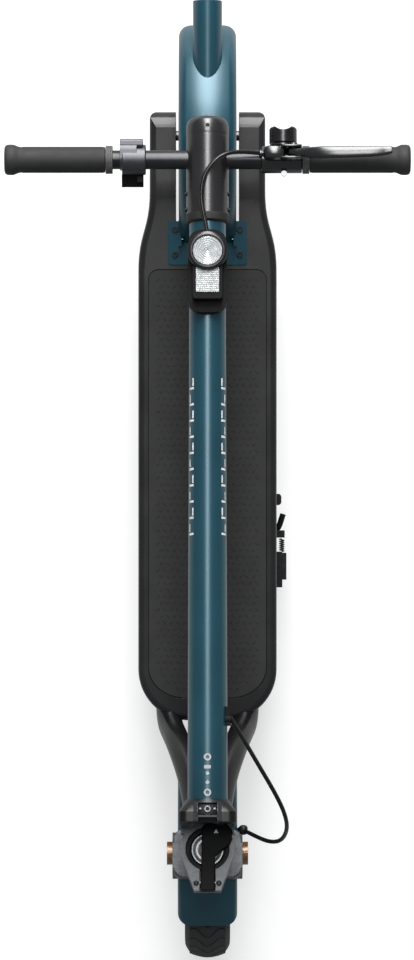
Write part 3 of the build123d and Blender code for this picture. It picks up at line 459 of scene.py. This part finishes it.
# ---------------------------------------------------------------- grips
def grip_shape(side):
    """Grip along X with a diamond knurl, a smooth flared flange and a domed end."""
    radius, start, end, pitch, spokes = 15.0, 122.0, 219.0, 1.5, 64
    raised, sunk = 0.42, -0.12
    rings = int((end - start) / pitch)
    knurl = [(radius, start + (end - start) * i / rings) for i in range(rings + 1)]
    tail = [
        (15.2, 220.5), (15.6, 222.5), (16.6, 225), (17.8, 228), (18, 232), (17.8, 235), (16.8, 237.6),
        (14, 238.8), (0, 239),
    ]
    head = [(11.3, 120.3), (14.6, 120.3), (15.1, 121)]
    bm = lathe(head + knurl + tail, steps=spokes)
    for vert in bm.verts:
        height = vert.co.z
        if start + 1 < height < end - 1 and vert.co.xy.length > radius - 1:
            ring = round((height - start) / (end - start) * rings)
            spoke = round(math.atan2(vert.co.y, vert.co.x) / TAU * spokes)
            lift = raised if (ring + spoke) % 2 else sunk
            vert.co.xy *= (radius + lift) / radius
    return moved(bm, AT_BAR @ outwards(side))


for name, side in (("left", 1), ("right", -1)):
    piece(
        "knurled_grip_" + name, grip_shape(side), STEM, "stem", grip_rubber, ("grip_" + name,),
        smooth=75,
    )

collars = []
for side in (-1, 1):
    inside, start, pitch = 11.3, 111.6, 2.1
    ribs = [(inside, start)]
    for i in range(4):
        low = start + i * pitch
        ribs += [(16.3, low + 0.1), (16.7, low + 0.5), (16.7, low + 1.5), (16.1, low + 1.9)]
    ribs += [(inside, 119.9)]
    collars.append(moved(lathe(ribs, closed=True), AT_BAR @ outwards(side)))
piece("grip_collars", joined(collars), STEM, "stem", ring_rubber, ("grip_rings",))


# ---------------------------------------------------------------- brake lever, its perch and the throttle clamp
def swept(stations):
    """Smooth bar along X through (x, y, z, half depth, half height) stations, a squarish oval in section."""
    squareness = 0.7        # 1 would be an ellipse, and less is nearer to a box
    bm = bmesh.new()
    loops = []
    for x, y, z, deep, high in stations:
        circle = bmesh.ops.create_circle(bm, cap_ends=False, segments=20, radius=1.0)["verts"]
        for vert in circle:
            for axis in (0, 1):
                vert.co[axis] = math.copysign(abs(vert.co[axis]) ** squareness, vert.co[axis])
            vert.co = (x, y + deep * vert.co.x, z + high * vert.co.y)
        loops.append(list({edge for vert in circle for edge in vert.link_edges}))
    ends = loops[0] + loops[-1]
    for near, far in zip(loops, loops[1:]):
        bmesh.ops.bridge_loops(bm, edges=near + far)
    bmesh.ops.holes_fill(bm, edges=ends)
    return bm


blade = swept([
    (94.5, -25, 4, 4.4, 4.6), (97, -25, 4, 6.6, 5), (104, -26, 4, 7.4, 5), (111, -28.5, 3.6, 6.4, 5.2),
    (121, -34, 1.8, 4.6, 6.8), (134, -38.8, 1.0, 3.9, 7.6), (160, -39.6, 1.2, 3.4, 7.4),
    (190, -39.8, 1.8, 3.2, 6.8), (205, -41, 2.6, 3.2, 6.0), (213, -42.8, 3.2, 2.9, 5.2), (216, -43.6, 3.4, 1.8, 3.6),
])
piece(
    "brake_lever_blade", moved(blade, AT_BAR), STEM, "brake_lever", gloss_black, ("brake_lever",),
    smooth=60,
)

barrel = moved(
    lathe([(11.2, 63), (15, 63), (15.9, 64), (15.9, 110), (15, 111), (11.2, 111)], 48, closed=True), TO_X
)
perch = [barrel, block((66, -31, -4.4), (91, -11, 12.4), 5.5)]
for low, high in ((-4.4, -1.5), (9.5, 12.4)):
    perch.append(block((86, -34, low), (110.5, -12, high), 1.2))
adjuster = lathe([(0, 0), (3.2, 0), (4.2, 1), (4.2, 3), (3.5, 3.6), (3.5, 5), (4.2, 5.6), (4.2, 9), (0, 9)], 24)
perch.append(moved(adjuster, Matrix.Translation((60.5, -17.5, 4.5)) @ TO_X))
piece(
    "brake_perch_body", moved(joined(perch), AT_BAR), STEM, "stem", gloss_black, ("brake_perch",)
)

clamp = lathe(
    [(11.2, -100.6), (16.8, -100.6), (17.8, -99.6), (17.8, -73.6), (16.8, -72.6), (11.2, -72.6)], 56, closed=True
)
piece("throttle_clamp_band", moved(clamp, AT_BAR @ TO_X), STEM, "stem", satin_grey)


# ---------------------------------------------------------------- screws
def socket_screw(radius, height, at, turn=GROUND):
    """Round-headed screw with a hexagonal socket, standing along Z before it is turned."""
    head = lathe([
        (radius * 0.5, height * 0.35), (radius * 0.5, height), (radius * 0.72, height),
        (radius * 0.94, height * 0.8), (radius, height * 0.4), (radius, 0), (0, 0),
    ], steps=24)
    socket = bmesh.new()
    bmesh.ops.create_circle(
        socket, cap_ends=True, segments=6, radius=radius * 0.52, matrix=Matrix.Translation((0, 0, height * 0.36))
    )
    return moved(joined([head, socket]), Matrix.Translation(at) @ turn)


sleeve_screws = [
    socket_screw(3.0, 2.2, (side * 24.4, -3, z), outwards(side))
    for side in (-1, 1) for z in (718, 737)
]
piece("sleeve_screws", joined(sleeve_screws), STEM, "stem", oxide_steel)

collar_screws = [socket_screw(3.2, 1.8, (x, -40, -0.4)) for x in (-13.2, 13.2)]
piece("collar_screws", joined(collar_screws), FORK, "fork", oxide_steel)


# ---------------------------------------------------------------- deck mat
def mat_inside(x, y, margin):
    """Whether a point is on the mat, margin millimetres or more inside its edge."""
    across, front, rear = 71.0 - margin, -259.4 + margin, 259.7 - margin
    if abs(x) > across or not front < y < rear:
        return False
    corner_x, corner_y, roundness = 44.0, 36.0, 2.2
    beyond_x, beyond_y = abs(x) - (across - corner_x), (front + corner_y) - y
    if beyond_x > 0 and beyond_y > 0:
        return (beyond_x / corner_x) ** roundness + (beyond_y / corner_y) ** roundness < 1
    return True


# Staggered rows of short raised dashes, each slanted the other way from its neighbours
pitch, border, slope, dash_z = 8.0, 7.5, 0.7, 164.6
dash_size, dash_top = (5.2, 1.7, 0.9), (0.82, 0.5, 1)
dashes = []
for row in range(-33, 34):
    for column in range(-9, 10):
        x, y = (column + 0.5 * (row % 2)) * pitch, row * pitch
        if mat_inside(x, y, border):
            slant = slope if (row + column) % 2 else -slope
            dash = bmesh.new()
            spread = Matrix.Translation((x, y, dash_z)) @ Matrix.Rotation(slant, 4, "Z")
            bmesh.ops.create_cube(dash, size=1.0, matrix=spread @ Matrix.Diagonal((*dash_size, 1)))
            top = [f for f in dash.faces if f.normal.z > 0.9]
            bmesh.ops.scale(
                dash, vec=dash_top, verts=list(top[0].verts),
                space=Matrix.Rotation(-slant, 4, "Z") @ Matrix.Translation((-x, -y, 0)),
            )
            dashes.append(dash)
piece("mat_treads", joined(dashes), GROUND, "frame", mat_rubber, smooth=20)


# ---------------------------------------------------------------- lamp, reflectors, display
def rings_shape(radius, rings, step):
    """Round lens with concentric prism rings under a domed rim, facing +Z."""
    ringed = radius * 0.86
    profile = [(0, 0.6)]
    for i in range(rings):
        near = ringed * i / rings
        far = ringed * (i + 1) / rings
        profile += [(near + 0.15, step * 0.2), (far - 0.1, step)]
    profile += [(radius * 0.88, 0.4), (radius * 0.93, 1.2), (radius * 0.985, 0.6), (radius, -1.5), (radius, -8.0)]
    return lathe(profile, steps=64)


lens = moved(rings_shape(17.4, 6, 1.1), Matrix.Translation((0, -49.4, LAMP_Z)) @ TO_FRONT)
piece("lamp_lens", lens, STEM, "stem", clear_lens, ("headlight_lens",), smooth=25)

bezel = lathe([(17.6, -2), (17.6, 1.2), (18.6, 2.2), (21, 2.2), (22.7, 0.8), (22.9, -2)], steps=64, closed=True)
bezel = moved(bezel, Matrix.Translation((0, -50, LAMP_Z)) @ TO_FRONT)
piece("lamp_bezel", bezel, STEM, "stem", satin_black)


def prisms(width, height, columns, rows, rise, inside=None):
    """Sheet of small pyramids facing +Z, cut round where inside gives a radius."""
    bm = bmesh.new()
    bmesh.ops.create_grid(
        bm, x_segments=columns, y_segments=rows, size=0.5, matrix=Matrix.Diagonal((width, height, 1, 1))
    )
    if inside:
        outside = [f for f in bm.faces if f.calc_center_median().xy.length > inside]
        bmesh.ops.delete(bm, geom=outside, context="FACES")
    bmesh.ops.poke(bm, faces=bm.faces, offset=rise)
    return bm


prism_sheet = moved(prisms(26.6, 28.2, 11, 12, 0.9), Matrix.Translation((0, -47.0, 628.2)) @ TO_FRONT)
prism_back = block((-13.4, -46.9, 613.9), (13.4, -43.3, 642.6))
piece(
    "front_prisms", joined([prism_sheet, prism_back]), STEM, "stem", prism_white,
    ("front_reflector",), smooth=10,
)

side_prisms = []
for side in (-1, 1):
    face = prisms(24, 24, 12, 12, 0.7, inside=11.2)
    disc = lathe([(0, -3.5), (11.4, -3.5), (11.4, 0), (0, 0)], steps=40)
    turn = Matrix.Translation(FRONT_AXLE + Vector((side * 48.2, 0, 0))) @ outwards(side)
    side_prisms += [moved(face, turn), moved(disc, turn)]
piece("side_prisms", joined(side_prisms), GROUND, "fork", amber, smooth=10)

# On the display's glass: five battery segments over a two-digit speed that reads zero
DISPLAY = STEM @ Matrix.Translation((0, 0.02515, 0.792)) @ Matrix.Rotation(-TAU / 4, 4, "X")
marks = [block((-9 + i * 3.2, 10, 0), (-6.8 + i * 3.2, 12, 0.12)) for i in range(5)]
for x in (-5, 5):
    marks += [block((x - 3, y - 0.5, 0), (x + 3, y + 0.5, 0.12)) for y in (-6, 6)]
    for edge in (x - 3.4, x + 3.4):
        marks.append(block((edge - 0.5, -5.2, 0), (edge + 0.5, 5.2, 0.12)))
piece("display_marks", joined(marks), DISPLAY, "stem", print_white)


# ---------------------------------------------------------------- trims of the collar, the stem's foot and the sleeve
# Steerer nut and its rubber seal in the collar's bowl
bowl_disc = lathe([
    (0, -11.2), (9, -11.2), (10, -11.8), (15, -11.8), (16, -11.2), (18.4, -11.2), (19.3, -12.2),
    (19.3, -13.9), (0, -13.9),
], 64)
piece("collar_nut_disc", bowl_disc, FORK, "fork", steel)
bowl_seal = lathe([(19.6, -19.8), (19.6, -11.2), (21, -10), (24, -9.4), (25.3, -10), (25.3, -19.8)], 64, True)
piece("collar_seal", bowl_seal, FORK, "fork", soft_rubber)

# Floor of the foot's channel, and the face of the latch screw between its two tabs
foot_plate = block((-10.9, -20.9, 0.4), (10.9, -18.5, 22), 0.3)
piece("foot_channel_plate", foot_plate, STEM, "stem", cast_black)
screw_ring = lathe([(1.9, 0), (1.9, 0.5), (2.3, 0.9), (3.6, 0.9), (4.2, 0.4), (4.3, 0)], 24)
screw_ring = moved(screw_ring, Matrix.Translation((0, -27.35, 15)) @ TO_FRONT)
screw_tabs = [block((side * 8 - 2.2, -27.6, 13.6), (side * 8 + 2.2, -26.5, 16.2), 0.4) for side in (-1, 1)]
piece("latch_screw_face", joined([screw_ring] + screw_tabs), STEM, "stem", steel)

# Lug on the fork that holds the end of the cable's loop
lug = block((37.5, -418.5, 245), (48, -407, 256), 3.5)
piece("cable_lug", lug, GROUND, "fork", cast_black)

# Domed end of the sleeve, beyond the handlebar
sleeve_end = lathe([(24.9, 806), (25.15, 808), (25.15, 818), (23.8, 823), (20, 827.2), (13, 829), (0, 829.4)], 64)
sleeve_end_screw = socket_screw(2.2, 1.2, (0, -24.9, 815.5), TO_FRONT)
piece("sleeve_end", sleeve_end, STEM, "stem", sleeve_plastic)
piece("sleeve_end_screw", sleeve_end_screw, STEM, "stem", oxide_steel)

# Web between the rear fender and its bracket
closing = block((-33, 280, 161.8), (33, 297, 164.2), 0.4)
piece("fender_front_web", closing, GROUND, "frame", teal_panel)

# Small white triangle on the fold lever: a painted highlight for the light caught at the lever's rear edge, drawn as
# a printed mark
glint_mark = bmesh.new()
bmesh.ops.create_cone(
    glint_mark, cap_ends=True, segments=3, radius1=3.2, radius2=3.2, depth=0.2,
    matrix=Matrix.Translation((10, 20, -0.95)),
)
piece("lever_painted_glint", glint_mark, FORK, "fold_lever", print_white)

# Rubber band round the sleeve's lower end
band = lathe([(22, 702.6), (23.4, 702.6), (25.4, 704.4), (25.6, 712), (25.2, 713), (22, 713)], 64, True)
piece("sleeve_band", band, STEM, "stem", soft_rubber)


# ---------------------------------------------------------------- plain bars printed on the stem
def printed_bar(angle, low, high, wide):
    """Thin bar that lies on the stem's round surface, at an angle from its front."""
    bm = bmesh.new()
    bmesh.ops.create_grid(
        bm, x_segments=6, y_segments=1, size=0.5, matrix=Matrix.Diagonal((wide, high - low, 1, 1))
    )
    middle = (low + high) / 2
    tube_start, tube_length, start_radius, taper, proud = 6, 554, 23.4, 1.7, 0.12
    radius = start_radius - taper * (middle - tube_start) / tube_length + proud
    for vert in bm.verts:
        turn = math.radians(angle) + vert.co.x / radius
        vert.co = Vector((radius * math.sin(turn), -radius * math.cos(turn), middle + vert.co.y))
    return bm


# Ten short bars round the tube on either side, each followed by a thin one along it, at either end by turns
bars = []
first, pitch, angle, to_side = 333, 19, 58, 8
for side in (-1, 1):
    for i in range(10):
        low = first + i * pitch
        bars.append(printed_bar(side * angle, low, low + 2.6, 9.0))
        bars.append(printed_bar(side * (angle - to_side if i % 2 else angle + to_side), low + 4, low + 13, 2.4))
piece("printed_bars", joined(bars), STEM, "stem", print_white)


# ---------------------------------------------------------------- floor and lights
FLOOR_REACH = 40000         # far enough to meet the horizon in any view
floor = bmesh.new()
bmesh.ops.create_grid(floor, x_segments=1, y_segments=1, size=FLOOR_REACH)
piece("floor", floor, GROUND, None, floor_paint)

world = bpy.data.worlds.new("studio")
world.use_nodes = True
world.node_tree.nodes["Background"].inputs["Color"].default_value = linear("#BFC3C6")
world.node_tree.nodes["Background"].inputs["Strength"].default_value = 0.42
bpy.context.scene.world = world


def softbox(name, at, target, wide, long, power):
    """Rectangular area light that faces a point."""
    data = bpy.data.lights.new(name, "AREA")
    data.shape = "RECTANGLE"
    data.size, data.size_y = wide, long
    data.energy = power
    light = bpy.data.objects.new(name, data)
    light.location = at
    light.rotation_euler = (Vector(at) - Vector(target)).to_track_quat("Z", "Y").to_euler()
    bpy.context.scene.collection.objects.link(light)


# The key hangs high and a little to the rear, so that flat tops stay dark and each round shows one soft streak.
# The second, low behind, lights what faces the rear.
softbox("key_above", (0, 5.7, 20), (0, 0, 0.3), 5.6, 5.0, 950)
softbox("rear_above", (0, 3.6, 2.7), (0, 0.2, 0.3), 1.5, 4.4, 300)
bpy.context.scene.view_settings.view_transform = "Standard"
